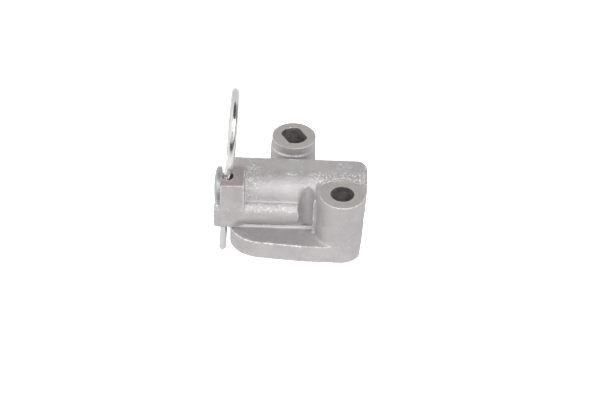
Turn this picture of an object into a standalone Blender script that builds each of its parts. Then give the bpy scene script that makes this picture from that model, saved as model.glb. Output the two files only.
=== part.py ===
"""Hydraulic timing chain tensioner: die-cast body, sprung plunger held in by a wire locking pin.

Frame: Z = 0 is the mounting face, +Z points away from the engine block, the plunger runs along -X,
and the origin is midway between the two bolt holes. Sizes below are in millimetres and turned into
metres when the meshes are made.
"""

import math

import bmesh
import bpy
from mathutils import Matrix, Vector

MM = 0.001

# ---- driving dimensions, millimetres ----------------------------------------------------------
BOLT_X, BOLT_Y = 7.4, 14.15          # front bolt at (+X, -Y), back bolt at (-X, +Y)
BOSS_TOP = 21.0                      # machined boss faces above the mounting face
FRONT_BOSS_R, FRONT_HOLE_R = 6.7, 3.5
BACK_BOSS_R, BACK_STEP_R, BACK_STEP_Z = 6.75, 6.9, 18.2
SLOT_R, SLOT_HALF_FLAT, SLOT_TURN = 4.07, 3.18, -60.5   # double-D bolt hole
PLATE_TOP = 5.95
FRONT_Y = -20.85                     # front face of the flange

BORE_Y, BORE_Z = -3.25, 13.86        # plunger axis
BARREL_R, BARREL_X0, BARREL_X1 = 8.96, -25.3, 15.16
BORE_R, BORE_END = 6.15, 10.6
LAND_Z, LAND_X0 = 22.0, -2.9         # flat cast land on the barrel top
WALL_Y = -11.9                       # front wall under the barrel
RIB_Y, RIB_Z, RIB_R, RIB_X1 = -11.8, 12.7, 3.0, -4.4

LUG_X0, LUG_X1, LUG_Y0, LUG_Y1, LUG_TOP = -28.6, -21.5, -14.3, -7.0, 22.7
PIN_R, PIN_HOLE_R = 1.0, 1.35
PIN_Y, PIN_X20, PIN_LEAN = -9.2, -26.835, 0.054   # pin axis: X = PIN_X20 + PIN_LEAN * (Z - 20)
PIN_TIP_Z = -5.55
SHANK_TOP_Z, LOOP_R, LOOP_Z = 26.5, 11.1, 39.85
LOOP_X28, LOOP_LEAN, LOOP_TURN = -26.0, 0.075, -0.028

PLUNGER_R, NOSE_TIP, NOSE_RIM, NOSE_BACK = 6.0, -31.0, -30.1, -28.75
NECK_R, NECK_END = 4.0, -23.7
PLUNGER_END, HOLLOW_R, HOLLOW_X0, VENT_R = 4.5, 4.3, -20.5, 0.5
SEAT_R, SEAT_X0, SEAT_X1, SEAT_HOLE_R = 5.9, 7.4, 10.35, 1.1
BALL_R, BALL_X = 1.75, 5.9
INLET_X, INLET_R = 12.0, 1.3


def clear_scene():
    for obj in list(bpy.data.objects):
        bpy.data.objects.remove(obj, do_unlink=True)


def material(name, colour, roughness, metallic):
    mat = bpy.data.materials.new(name)
    mat.use_nodes = True
    shader = mat.node_tree.nodes["Principled BSDF"]
    shader.inputs["Base Color"].default_value = (*colour, 1.0)
    shader.inputs["Roughness"].default_value = roughness
    shader.inputs["Metallic"].default_value = metallic
    return mat


def to_object(name, bm, origin=(0, 0, 0), helper=False):
    """Mesh built in world millimetres, stored in metres about the object's own origin."""
    bmesh.ops.recalc_face_normals(bm, faces=bm.faces)
    shift = Vector(origin)
    for vert in bm.verts:
        vert.co = (vert.co - shift) * MM
    mesh = bpy.data.meshes.new(name)
    bm.to_mesh(mesh)
    bm.free()
    mesh.shade_smooth()
    mesh.set_sharp_from_angle(angle=math.radians(32))
    obj = bpy.data.objects.new(name, mesh)
    obj.location = shift * MM
    bpy.context.scene.collection.objects.link(obj)
    if helper:
        obj.hide_render = True
        obj.display_type = "WIRE"
    return obj


def along(axis):
    """Rotation that turns +Z onto the given axis."""
    return Vector((0, 0, 1)).rotation_difference(Vector(axis)).to_matrix().to_4x4()


def turned(profile, segments, start, axis):
    """Closed body of revolution: profile is (distance along the axis, radius), radius 0 at both ends
    for a solid, or a closed ring of points when no radius is 0."""
    bm = bmesh.new()
    rings = []
    for along_axis, radius in profile:
        if radius < 1e-6:
            rings.append([bm.verts.new((0, 0, along_axis))])
        else:
            rings.append(
                [
                    bm.verts.new(
                        (
                            radius * math.cos(2 * math.pi * i / segments),
                            radius * math.sin(2 * math.pi * i / segments),
                            along_axis,
                        )
                    )
                    for i in range(segments)
                ]
            )
    pairs = list(zip(rings, rings[1:]))
    if len(rings[0]) > 1 and len(rings[-1]) > 1:
        pairs.append((rings[-1], rings[0]))
    for lower, upper in pairs:
        for i in range(segments):
            j = (i + 1) % segments
            if len(lower) == 1:
                bm.faces.new((lower[0], upper[j], upper[i]))
            elif len(upper) == 1:
                bm.faces.new((lower[i], lower[j], upper[0]))
            else:
                bm.faces.new((lower[i], lower[j], upper[j], upper[i]))
    bmesh.ops.transform(bm, matrix=Matrix.Translation(start) @ along(axis), verts=bm.verts)
    return bm


def rod(radius, start, end, segments=40):
    length = (Vector(end) - Vector(start)).length
    return turned(
        [(0, 0), (0, radius), (length, radius), (length, 0)],
        segments,
        Vector(start),
        (Vector(end) - Vector(start)).normalized(),
    )


def prism(points, z0, z1, edge=0.0):
    """Outline in the XY plane pulled from z0 to z1, its vertical edges rounded by edge."""
    bm = bmesh.new()
    face = bm.faces.new([bm.verts.new((x, y, z0)) for x, y in points])
    grown = bmesh.ops.extrude_face_region(bm, geom=[face])
    top = [v for v in grown["geom"] if isinstance(v, bmesh.types.BMVert)]
    bmesh.ops.translate(bm, verts=top, vec=(0, 0, z1 - z0))
    if edge:
        upright = [
            e for e in bm.edges if abs(e.verts[0].co.z - e.verts[1].co.z) > 0.5 * (z1 - z0)
        ]
        bmesh.ops.bevel(
            bm, geom=upright, offset=edge, segments=4, profile=0.5, affect="EDGES"
        )
    return bm


def bar(points, x0, x1, edge=0.0):
    """Outline in the YZ plane pulled from x0 to x1, all its edges rounded by edge."""
    bm = bmesh.new()
    face = bm.faces.new([bm.verts.new((x0, y, z)) for y, z in points])
    grown = bmesh.ops.extrude_face_region(bm, geom=[face])
    far = [v for v in grown["geom"] if isinstance(v, bmesh.types.BMVert)]
    bmesh.ops.translate(bm, verts=far, vec=(x1 - x0, 0, 0))
    if edge:
        bmesh.ops.bevel(bm, geom=list(bm.edges), offset=edge, segments=2, profile=0.5, affect="EDGES")
    return bm


def block(x0, x1, y0, y1, z0, z1, edge=0.0, segments=2):
    bm = bmesh.new()
    bmesh.ops.create_cube(bm, size=1.0)
    for vert in bm.verts:
        vert.co = Vector(
            (
                x0 if vert.co.x < 0 else x1,
                y0 if vert.co.y < 0 else y1,
                z0 if vert.co.z < 0 else z1,
            )
        )
    if edge:
        bmesh.ops.bevel(
            bm, geom=list(bm.edges), offset=edge, segments=segments, profile=0.5, affect="EDGES"
        )
    return bm


def arc(cx, cy, radius, start, end, steps):
    return [
        (
            cx + radius * math.cos(math.radians(start + (end - start) * i / steps)),
            cy + radius * math.sin(math.radians(start + (end - start) * i / steps)),
        )
        for i in range(steps + 1)
    ]


def ellipse_arc(cx, cy, rx, ry, start, end, steps):
    return [
        (
            cx + rx * math.cos(math.radians(start + (end - start) * i / steps)),
            cy + ry * math.sin(math.radians(start + (end - start) * i / steps)),
        )
        for i in range(steps + 1)
    ]


def boolean(obj, tools, operation):
    for tool in tools:
        modifier = obj.modifiers.new(f"{operation.lower()}_{tool.name}", "BOOLEAN")
        modifier.operation = operation
        modifier.solver = "EXACT"
        modifier.object = tool


def flange_outline():
    """Plan of the mounting flange, anticlockwise from its front-left corner."""
    points = ellipse_arc(-15.6, -11.2, 10.15, 8.55, 180, 270, 10)
    points.append((-4.0, FRONT_Y))
    points += arc(BOLT_X, -BOLT_Y, FRONT_BOSS_R, 270, 352, 8)
    points += arc(BARREL_X1 - 3.0, 2.6, 3.0, 0, 90, 5)
    points += arc(2.3, 8.3, 2.7, 270, 205, 4)
    points += arc(-BOLT_X, BOLT_Y, BACK_STEP_R + 0.3, -4, 184, 16)
    points += arc(-17.4, 8.3, 2.7, 335, 270, 4)
    points += arc(-23.3, 3.2, 2.4, 90, 180, 5)
    return points


def double_d():
    """Circle with two flats, the flats along the line that joins the bolt holes."""
    turn = SLOT_TURN
    half = math.degrees(math.asin(SLOT_HALF_FLAT / SLOT_R))
    ends = arc(0, 0, SLOT_R, -half, half, 8) + arc(0, 0, SLOT_R, 180 - half, 180 + half, 8)
    c, s = math.cos(math.radians(turn)), math.sin(math.radians(turn))
    return [(-BOLT_X + 0.06 + x * c - y * s, BOLT_Y + 0.12 + x * s + y * c) for x, y in ends]


def make_housing():
    flange = to_object("body", prism(flange_outline(), 0.0, PLATE_TOP))
    flange.name = "housing"
    add = []

    def grow(name, bm):
        add.append(to_object("add_" + name, bm, helper=True))

    end = BARREL_X1 - BARREL_X0
    grow(
        "barrel",
        turned(
            [(0, 0), (0, BARREL_R - 0.7), (0.7, BARREL_R)]
            + [
                (end - 3.0 + 3.0 * math.sin(a), BARREL_R - 3.0 + 3.0 * math.cos(a))
                for a in (math.radians(18 * i) for i in range(6))
            ]
            + [(end, 0)],
            56,
            (BARREL_X0, BORE_Y, BORE_Z),
            (1, 0, 0),
        ),
    )
    grow(
        "saddle",
        prism(
            arc(BARREL_X1 - 2.95, 2.4, 2.9, 0, 90, 4)
            + arc(-22.9, 2.9, 2.3, 90, 180, 4)
            + [(-25.2, WALL_Y), (BARREL_X1 - 0.06, WALL_Y)],
            2.0,
            BORE_Z - 0.4,
        ),
    )
    # the rib: half round in front, running down in a flank to the foot of the wall
    grow(
        "rib",
        bar(
            arc(RIB_Y, RIB_Z, RIB_R, 75, 206.6, 14) + [(WALL_Y, 5.6), (-9.0, 5.6), (-9.0, 14.0)],
            -24.0,
            RIB_X1,
        ),
    )
    foot = [(-14.48, 11.36), (WALL_Y + 0.3, 5.5), (LUG_Y1, 5.5)]
    grow("lug", bar([(LUG_Y0, LUG_TOP), (-14.75, 12.6)] + foot + [(LUG_Y1, LUG_TOP)], LUG_X0, LUG_X1, edge=0.35))
    grow("lug_top", block(-25.6, LUG_X1, -9.0, -3.6, 17.0, LUG_TOP, edge=0.35))
    grow("lug_front", block(LUG_X0, -24.8, -14.85, -9.7, 7.1, 13.5, edge=0.6))
    grow("lug_heel", block(-30.3, -24.8, -14.8, -9.7, 7.1, 10.3, edge=1.0))
    grow(
        "front_column",
        prism(
            [(-0.55, -3.0), (-0.55, -13.2), (-0.35, -14.8), (0.05, -16.0), (0.8, -17.2), (2.0, -18.55)]
            + arc(BOLT_X, -BOLT_Y, FRONT_BOSS_R + 0.02, 228, 358, 18)
            + [(15.1, -8.4), (15.1, -3.0)],
            1.0,
            BOSS_TOP - 0.4,
        ),
    )
    grow("front_boss", rod(FRONT_BOSS_R, (BOLT_X, -BOLT_Y, 3.0), (BOLT_X, -BOLT_Y, BOSS_TOP), 48))
    grow(
        "back_column",
        turned(
            [
                (0, 0),
                (0, BACK_STEP_R + 0.25),
                (BACK_STEP_Z - 1.0, BACK_STEP_R),
                (BACK_STEP_Z - 1.0, BACK_BOSS_R),
                (BOSS_TOP - 1.3, BACK_BOSS_R - 0.03),
                (BOSS_TOP - 1.0, BACK_BOSS_R - 0.3),
                (BOSS_TOP - 1.0, 0),
            ],
            48,
            (-BOLT_X, BOLT_Y, 1.0),
            (0, 0, 1),
        ),
    )
    grow(
        "back_web",
        prism(
            [(-13.2, 14.0), (-14.4, 8.6), (-16.6, 4.0), (-16.6, -1.0), (2.4, -1.0), (2.4, 4.0), (-0.3, 8.6), (-1.5, 14.0)],
            1.0,
            15.0,
        ),
    )
    grow(
        "back_rib",
        prism([(-8.9, 12.0), (-10.2, 0.0), (-4.8, 0.0), (-6.0, 12.0)], 12.0, 17.2),
    )
    boolean(flange, add, "UNION")

    cut = []

    def remove(name, bm):
        cut.append(to_object("cut_" + name, bm, helper=True))

    remove("land", block(LAND_X0, 30.0, -30.0, 4.5, LAND_Z, 30.0))
    remove("spotface", rod(FRONT_BOSS_R + 0.1, (BOLT_X, -BOLT_Y, BOSS_TOP), (BOLT_X, -BOLT_Y, 30.0), 48))
    remove("relief", rod(2.45, (-3.05, -13.5, PLATE_TOP), (-3.05, -13.5, 30.0), 28))
    # the pin's hole is drawn out to the right, so the pin stands in its left end
    low, high = -2.1, 26.3
    for name, dx, dy, radius in (("pin_hole", 0.15, 0.0, PIN_HOLE_R), ("pin_hole_side", 1.0, 0.2, PIN_HOLE_R - 0.05)):
        remove(
            name,
            rod(
                radius,
                (PIN_X20 + dx + PIN_LEAN * (low - 20), PIN_Y + dy, low),
                (PIN_X20 + dx + PIN_LEAN * (high - 20), PIN_Y + dy, high),
                20,
            ),
        )
    remove("bore", rod(BORE_R, (-40.0, BORE_Y, BORE_Z), (BORE_END, BORE_Y, BORE_Z), 48))
    remove("reservoir", rod(3.4, (BORE_END - 1.0, BORE_Y, BORE_Z), (13.3, BORE_Y, BORE_Z), 24))
    remove("inlet", rod(INLET_R, (INLET_X, BORE_Y, -2.0), (INLET_X, BORE_Y, BORE_Z), 20))
    remove("inlet_recess", rod(2.6, (INLET_X, BORE_Y, -2.0), (INLET_X, BORE_Y, 1.0), 28))
    remove("front_hole", rod(FRONT_HOLE_R, (BOLT_X, -BOLT_Y, -2.0), (BOLT_X, -BOLT_Y, 24.0), 40))
    remove("back_hole", prism(double_d(), -2.0, 24.0))
    boolean(flange, cut, "DIFFERENCE")
    flange.data.materials.append(material("cast_aluminium", (0.62, 0.61, 0.60), 0.45, 0.9))
    return flange


def make_plunger():
    dome = [
        (NOSE_RIM - (NOSE_RIM - NOSE_TIP) * math.cos(math.radians(a)), (PLUNGER_R - 0.25) * math.sin(math.radians(a)))
        for a in (10, 24, 38, 52, 66, 78)
    ]
    profile = [(NOSE_TIP + 0.02, VENT_R)] + dome + [
        (NOSE_RIM + 0.15, PLUNGER_R),
        (NOSE_BACK, PLUNGER_R),
        (NOSE_BACK, NECK_R),
        (NECK_END, NECK_R),
        (NECK_END + 0.4, PLUNGER_R),
        (PLUNGER_END - 0.4, PLUNGER_R),
        (PLUNGER_END, PLUNGER_R - 0.4),
        (PLUNGER_END, HOLLOW_R),
        (HOLLOW_X0 + 0.8, HOLLOW_R),
        (HOLLOW_X0, HOLLOW_R - 1.0),
        (HOLLOW_X0, VENT_R),
    ]
    bm = turned(profile, 48, (0, BORE_Y, BORE_Z), (1, 0, 0))
    obj = to_object("plunger", bm, origin=(NOSE_TIP, BORE_Y, BORE_Z))
    obj.data.materials.append(material("ground_steel", (0.70, 0.70, 0.71), 0.28, 1.0))
    return obj


def coil(name, x0, x1, radius, wire, turns, steps, mat, sides=2):
    """Compression spring with closed end turns, as one swept wire."""
    curve = bpy.data.curves.new(name, "CURVE")
    curve.dimensions = "3D"
    curve.bevel_depth = wire * MM
    curve.bevel_resolution = sides
    curve.use_fill_caps = True
    spline = curve.splines.new("POLY")
    count = int(turns * steps)
    spline.points.add(count)
    travel = x1 - x0 - 2 * wire
    for i in range(count + 1):
        share = i / count
        # the pitch is small over the first and last turn
        ease = share - math.sin(2 * math.pi * share) * 0.5 / (2 * math.pi)
        angle = 2 * math.pi * turns * share
        spline.points[i].co = (
            (wire + travel * ease) * MM,
            radius * math.cos(angle) * MM,
            radius * math.sin(angle) * MM,
            1.0,
        )
    obj = bpy.data.objects.new(name, curve)
    obj.location = (x0 * MM, BORE_Y * MM, BORE_Z * MM)
    bpy.context.scene.collection.objects.link(obj)
    curve.materials.append(mat)
    return obj


def make_inner_parts():
    steel = material("spring_steel", (0.45, 0.45, 0.46), 0.35, 1.0)
    hard = material("hardened_steel", (0.58, 0.58, 0.60), 0.3, 1.0)
    plastic = material("natural_plastic", (0.80, 0.76, 0.66), 0.5, 0.0)
    ball_steel = material("polished_steel", (0.75, 0.75, 0.76), 0.12, 1.0)

    disc = turned(
        [(-20.3, 0.6), (-20.3, 3.1), (-19.3, 4.05), (-19.1, 4.05), (-19.1, 0.6)],
        32,
        (0, BORE_Y, BORE_Z),
        (1, 0, 0),
    )
    to_object("vent_disc", disc, origin=(-20.3, BORE_Y, BORE_Z)).data.materials.append(hard)

    guide = turned(
        [(-18.8, 0), (-18.8, 4.0), (-18.0, 4.0), (-18.0, 2.45), (-1.2, 2.3), (0.3, 1.4), (0.3, 0)],
        28,
        (0, BORE_Y, BORE_Z),
        (1, 0, 0),
    )
    to_object("spring_guide", guide, origin=(-18.8, BORE_Y, BORE_Z)).data.materials.append(plastic)

    coil("plunger_spring", -17.7, 6.4, 3.45, 0.5, 9.0, 14, steel)

    seat = turned(
        [
            (SEAT_X0, SEAT_HOLE_R + 0.25),
            (SEAT_X0, SEAT_R),
            (SEAT_X1, SEAT_R),
            (SEAT_X1, SEAT_HOLE_R + 0.9),
            (SEAT_X1 - 1.2, SEAT_HOLE_R),
            (SEAT_X0 + 0.25, SEAT_HOLE_R),
        ],
        40,
        (0, BORE_Y, BORE_Z),
        (1, 0, 0),
    )
    to_object("valve_seat", seat, origin=(SEAT_X0, BORE_Y, BORE_Z)).data.materials.append(hard)

    cup = turned(
        [
            (2.3, 0.45),
            (2.3, 2.3),
            (2.6, 2.6),
            (6.7, 2.6),
            (6.7, 5.4),
            (7.1, 5.4),
            (7.1, 2.2),
            (2.75, 2.2),
            (2.65, 2.1),
            (2.65, 0.45),
        ],
        32,
        (0, BORE_Y, BORE_Z),
        (1, 0, 0),
    )
    cage = to_object("ball_retainer", cup, origin=(7.1, BORE_Y, BORE_Z))
    windows = [
        to_object("cut_window_y", block(4.0, 6.0, BORE_Y - 4, BORE_Y + 4, BORE_Z - 0.7, BORE_Z + 0.7), helper=True),
        to_object("cut_window_z", block(4.0, 6.0, BORE_Y - 0.7, BORE_Y + 0.7, BORE_Z - 4, BORE_Z + 4), helper=True),
    ]
    boolean(cage, windows, "DIFFERENCE")
    cage.data.materials.append(steel)

    ball = bmesh.new()
    bmesh.ops.create_icosphere(ball, subdivisions=3, radius=BALL_R)
    bmesh.ops.translate(ball, verts=ball.verts, vec=(BALL_X, BORE_Y, BORE_Z))
    to_object("check_ball", ball, origin=(BALL_X, BORE_Y, BORE_Z)).data.materials.append(ball_steel)

    coil("check_ball_spring", 2.85, 4.1, 0.9, 0.16, 3.0, 12, steel, 1)


def pin_path():
    """Centre line of the locking pin: straight shank, small bend, then an open round finger loop."""

    def at(y, z):
        if z <= 22.0:
            x = PIN_X20 + PIN_LEAN * (z - 20)
        elif z >= 28.0:
            x = LOOP_X28 + LOOP_LEAN * (z - 28)
        else:
            share = (z - 22.0) / 6.0
            low, high = PIN_X20 + PIN_LEAN * 2.0, LOOP_X28
            x = (
                (2 * share**3 - 3 * share**2 + 1) * low
                + (share**3 - 2 * share**2 + share) * 6.0 * PIN_LEAN
                + (3 * share**2 - 2 * share**3) * high
                + (share**3 - share**2) * 6.0 * LOOP_LEAN
            )
        return Vector((x + LOOP_TURN * y, PIN_Y + y, z))

    points = [at(0, PIN_TIP_Z), at(0, 2.0), at(0, 10.0), at(0, 18.0), at(0, 22.0), at(0, 24.2)]
    bend, turn = 2.2, math.radians(70)
    for i in range(8):
        a = turn * i / 7
        points.append(at(-bend * (1 - math.cos(a)), SHANK_TOP_Z + bend * math.sin(a)))
    steps = 44
    for i in range(steps + 1):
        a = math.radians(20 + 330 * i / steps)
        points.append(at(-LOOP_R * math.sin(a), LOOP_Z - LOOP_R * math.cos(a)))
    return points


def make_locking_pin():
    curve = bpy.data.curves.new("locking_pin", "CURVE")
    curve.dimensions = "3D"
    curve.bevel_depth = PIN_R * MM
    curve.bevel_resolution = 3
    curve.use_fill_caps = True
    points = pin_path()
    origin = Vector((PIN_X20, PIN_Y, 20.0))
    spline = curve.splines.new("POLY")
    spline.points.add(len(points) - 1)
    for slot, point in zip(spline.points, points):
        slot.co = (*((point - origin) * MM), 1.0)
    obj = bpy.data.objects.new("locking_pin", curve)
    obj.location = origin * MM
    bpy.context.scene.collection.objects.link(obj)
    curve.materials.append(material("bright_zinc_wire", (0.78, 0.78, 0.79), 0.18, 1.0))
    return obj


clear_scene()
make_housing()
make_plunger()
make_inner_parts()
make_locking_pin()
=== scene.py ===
"""Looks of the hydraulic timing chain tensioner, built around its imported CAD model.

The casting is contoured from one distance field in millimetres, so that every junction has its
fillet and every machined face and bore keeps a crisp edge. Everything is placed in the CAD's frame.
"""

import math

import bmesh
import bpy
import numpy as np
from mathutils import Matrix, Vector


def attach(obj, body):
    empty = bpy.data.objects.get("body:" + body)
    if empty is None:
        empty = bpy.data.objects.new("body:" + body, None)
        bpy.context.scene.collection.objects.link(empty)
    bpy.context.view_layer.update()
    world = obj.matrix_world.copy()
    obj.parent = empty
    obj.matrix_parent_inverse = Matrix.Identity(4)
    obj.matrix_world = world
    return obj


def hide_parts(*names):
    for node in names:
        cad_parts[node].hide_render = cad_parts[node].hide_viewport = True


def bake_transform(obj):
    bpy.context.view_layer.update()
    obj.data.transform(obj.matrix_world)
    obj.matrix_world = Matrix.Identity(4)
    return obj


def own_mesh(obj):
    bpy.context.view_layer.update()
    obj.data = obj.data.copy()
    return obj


MM = 0.001
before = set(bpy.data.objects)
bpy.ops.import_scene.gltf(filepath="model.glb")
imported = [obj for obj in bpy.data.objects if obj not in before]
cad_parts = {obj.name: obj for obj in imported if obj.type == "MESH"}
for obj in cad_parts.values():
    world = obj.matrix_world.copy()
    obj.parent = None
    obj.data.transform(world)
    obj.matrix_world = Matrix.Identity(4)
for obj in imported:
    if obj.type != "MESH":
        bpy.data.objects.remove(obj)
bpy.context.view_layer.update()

# ---- dimensions, millimetres, as in the CAD -----------------------------------------------------
BOLT_X, BOLT_Y = 7.4, 14.15
BOSS_TOP = 21.0
FRONT_BOSS_R, FRONT_HOLE_R = 6.7, 3.5
BACK_BOSS_R, BACK_STEP_R, BACK_STEP_Z = 6.75, 6.9, 18.2
SLOT_R, SLOT_HALF_FLAT, SLOT_TURN = 4.07, 3.18, -60.5
PLATE_TOP = 5.95
FRONT_Y = -20.85
BORE_Y, BORE_Z = -3.25, 13.86
BARREL_R, BARREL_X0, BARREL_X1 = 8.96, -25.3, 15.16
BORE_R, BORE_END = 6.15, 10.6
LAND_Z, LAND_X0 = 22.0, -1.4
WALL_Y = -11.9
RIB_Y, RIB_Z, RIB_R, RIB_X1 = -10.8, 11.6, 4.1, -3.4
LUG_X0, LUG_X1, LUG_Y0, LUG_Y1, LUG_TOP = -28.6, -21.5, -14.3, -7.0, 22.7
PIN_R, PIN_HOLE_R = 1.1, 1.27
PIN_Y, PIN_X20, PIN_LEAN = -9.2, -26.835, 0.054
PIN_TIP_Z = -5.55
SHANK_TOP_Z, LOOP_R, LOOP_Z = 26.5, 10.85, 39.5
LOOP_X28, LOOP_LEAN, LOOP_TURN = -26.0, 0.075, -0.028
INLET_X, INLET_R = 12.0, 1.3
GRID = 0.37                          # cell of the contoured casting


# ---- distance field building blocks ---------------------------------------------------------------
def join(a, b, r=0.0):
    """Union of two fields with a round fillet of radius r, which may differ from point to point."""
    if np.ndim(r) == 0 and r <= 0:
        return np.minimum(a, b)
    return np.maximum(r, np.minimum(a, b)) - np.hypot(np.maximum(r - a, 0), np.maximum(r - b, 0))


def both(a, b, r=0.0):
    """Intersection of two fields with a rounded edge of radius r, which may differ from point to point."""
    if np.ndim(r) == 0 and r <= 0:
        return np.maximum(a, b)
    return np.minimum(-r, np.maximum(a, b)) + np.hypot(np.maximum(r + a, 0), np.maximum(r + b, 0))


def fade(value, low, high):
    """0 below low, 1 above high, smooth between."""
    t = np.clip((value - low) / (high - low), 0, 1)
    return t * t * (3 - 2 * t)


def box(p, x0, x1, y0, y1, z0, z1, r=0.0):
    q = [
        np.abs(p[0] - (x0 + x1) / 2) - (x1 - x0) / 2 + r,
        np.abs(p[1] - (y0 + y1) / 2) - (y1 - y0) / 2 + r,
        np.abs(p[2] - (z0 + z1) / 2) - (z1 - z0) / 2 + r,
    ]
    out = np.sqrt(sum(np.maximum(v, 0) ** 2 for v in q))
    return out + np.minimum(np.maximum(np.maximum(q[0], q[1]), q[2]), 0) - r


def along_x(p, y, z, radius, x0, x1, r0=0.0, r1=0.0):
    side = np.hypot(p[1] - y, p[2] - z) - radius
    return both(both(side, x0 - p[0], r0), p[0] - x1, r1)


def upright(p, x, y, radius, z0, z1, r0=0.0, r1=0.0, taper=0.0):
    side = np.hypot(p[0] - x, p[1] - y) - radius - taper * (z1 - p[2])
    return both(both(side, z0 - p[2], r0), p[2] - z1, r1)


class Outline:
    """Signed distance to a closed plan outline, tabulated on a fine grid."""

    def __init__(self, points, step=0.06, margin=4.0):
        pts = np.array(points, float)
        self.lo = pts.min(0) - margin
        count = np.ceil((pts.max(0) + margin - self.lo) / step).astype(int) + 1
        self.step = step
        gx = self.lo[0] + step * np.arange(count[0])[:, None]
        gy = self.lo[1] + step * np.arange(count[1])[None, :]
        best = np.full((count[0], count[1]), 1e9)
        inside = np.zeros((count[0], count[1]), bool)
        for a, b in zip(pts, np.roll(pts, -1, axis=0)):
            e = b - a
            t = np.clip(((gx - a[0]) * e[0] + (gy - a[1]) * e[1]) / (e @ e), 0, 1)
            best = np.minimum(best, (gx - a[0] - t * e[0]) ** 2 + (gy - a[1] - t * e[1]) ** 2)
            if abs(e[1]) > 1e-12:
                spans = (a[1] > gy) != (b[1] > gy)
                inside ^= spans & (gx < (gy - a[1]) * e[0] / e[1] + a[0])
        self.table = np.where(inside, -1, 1) * np.sqrt(best)

    def __call__(self, x, y):
        u = np.clip((x - self.lo[0]) / self.step, 0, self.table.shape[0] - 1.001)
        v = np.clip((y - self.lo[1]) / self.step, 0, self.table.shape[1] - 1.001)
        i, j = u.astype(np.int64), v.astype(np.int64)
        s, t = u - i, v - j
        tab = self.table
        return (
            tab[i, j] * (1 - s) * (1 - t)
            + tab[i + 1, j] * s * (1 - t)
            + tab[i, j + 1] * (1 - s) * t
            + tab[i + 1, j + 1] * s * t
        )


class Lumps:
    """Smooth, repeatable value noise for the slight waviness of a cast skin."""

    def __init__(self, seed, size=48):
        self.size = size
        self.table = np.random.RandomState(seed).uniform(-1, 1, (size, size, size))

    def __call__(self, p, wavelength):
        q = [v / wavelength + 500.0 for v in np.broadcast_arrays(*p)]
        base = [np.floor(v).astype(np.int64) for v in q]
        part = [v - b for v, b in zip(q, base)]
        part = [f * f * (3 - 2 * f) for f in part]
        total = 0.0
        for dx in (0, 1):
            wx = part[0] if dx else 1 - part[0]
            for dy in (0, 1):
                wy = part[1] if dy else 1 - part[1]
                for dz in (0, 1):
                    wz = part[2] if dz else 1 - part[2]
                    total = total + wx * wy * wz * self.table[
                        (base[0] + dx) % self.size, (base[1] + dy) % self.size, (base[2] + dz) % self.size
                    ]
        return total


def arc(cx, cy, radius, start, end, steps, ry=None):
    ry = radius if ry is None else ry
    angles = np.radians(np.linspace(start, end, steps + 1))
    return [(cx + radius * math.cos(a), cy + ry * math.sin(a)) for a in angles]


def flange_outline():
    points = arc(-15.6, -11.2, 10.15, 180, 270, 24, 8.55)
    points.append((-4.0, FRONT_Y))
    points += arc(BOLT_X, -BOLT_Y, FRONT_BOSS_R + 0.08, 270, 352, 30)
    points += arc(BARREL_X1 - 3.0, 2.6, 3.0, 0, 90, 12)
    points += arc(2.3, 8.3, 2.7, 270, 205, 8)
    points += arc(-BOLT_X, BOLT_Y, BACK_STEP_R + 0.3, -4, 184, 60)
    points += arc(-17.4, 8.3, 2.7, 335, 270, 8)
    points += arc(-23.3, 3.2, 2.4, 90, 180, 12)
    return points


def double_d(inset):
    turn = math.radians(SLOT_TURN)
    radius, flat = SLOT_R - inset, SLOT_HALF_FLAT - inset
    half = math.degrees(math.asin(flat / radius))
    ends = arc(0, 0, radius, -half, half, 24) + arc(0, 0, radius, 180 - half, 180 + half, 24)
    c, s = math.cos(turn), math.sin(turn)
    return [(-BOLT_X + 0.06 + x * c - y * s, BOLT_Y + 0.12 + x * s + y * c) for x, y in ends]


FLANGE = Outline(flange_outline())
SADDLE = Outline(
    arc(BARREL_X1 - 2.95, 2.4, 2.9, 0, 90, 10)
    + arc(-22.9, 2.9, 2.3, 90, 180, 10)
    + [(-25.2, WALL_Y), (BARREL_X1 - 0.06, WALL_Y)]
)
# the front column is wider at its foot, on its left side, than below the machined face
COLUMN_FOOT = Outline(
    [(-0.5, -3.0), (-0.15, -13.2), (0.0, -14.8), (0.2, -16.0), (0.8, -17.4), (1.95, -18.85), (3.3, -19.8), (5.2, -20.55)]
    + arc(BOLT_X, -BOLT_Y, FRONT_BOSS_R, 270, 358, 40)
    + [(15.1, -8.4), (15.1, -3.0)]
)
COLUMN_HEAD = Outline(
    [(-0.5, -3.0), (-0.15, -13.2)] + arc(BOLT_X, -BOLT_Y, FRONT_BOSS_R, 207, 358, 60) + [(15.1, -8.4), (15.1, -3.0)]
)
WEB = Outline(
    [(-13.2, 14.0), (-14.4, 8.6), (-16.6, 4.0), (-16.6, -1.0), (2.4, -1.0), (2.4, 4.0), (-0.3, 8.6), (-1.5, 14.0)]
)
SLOT = Outline(double_d(1.1), step=0.03, margin=2.0)      # grown back by the corner radius in cuts()
LUMPS = Lumps(7)

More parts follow.
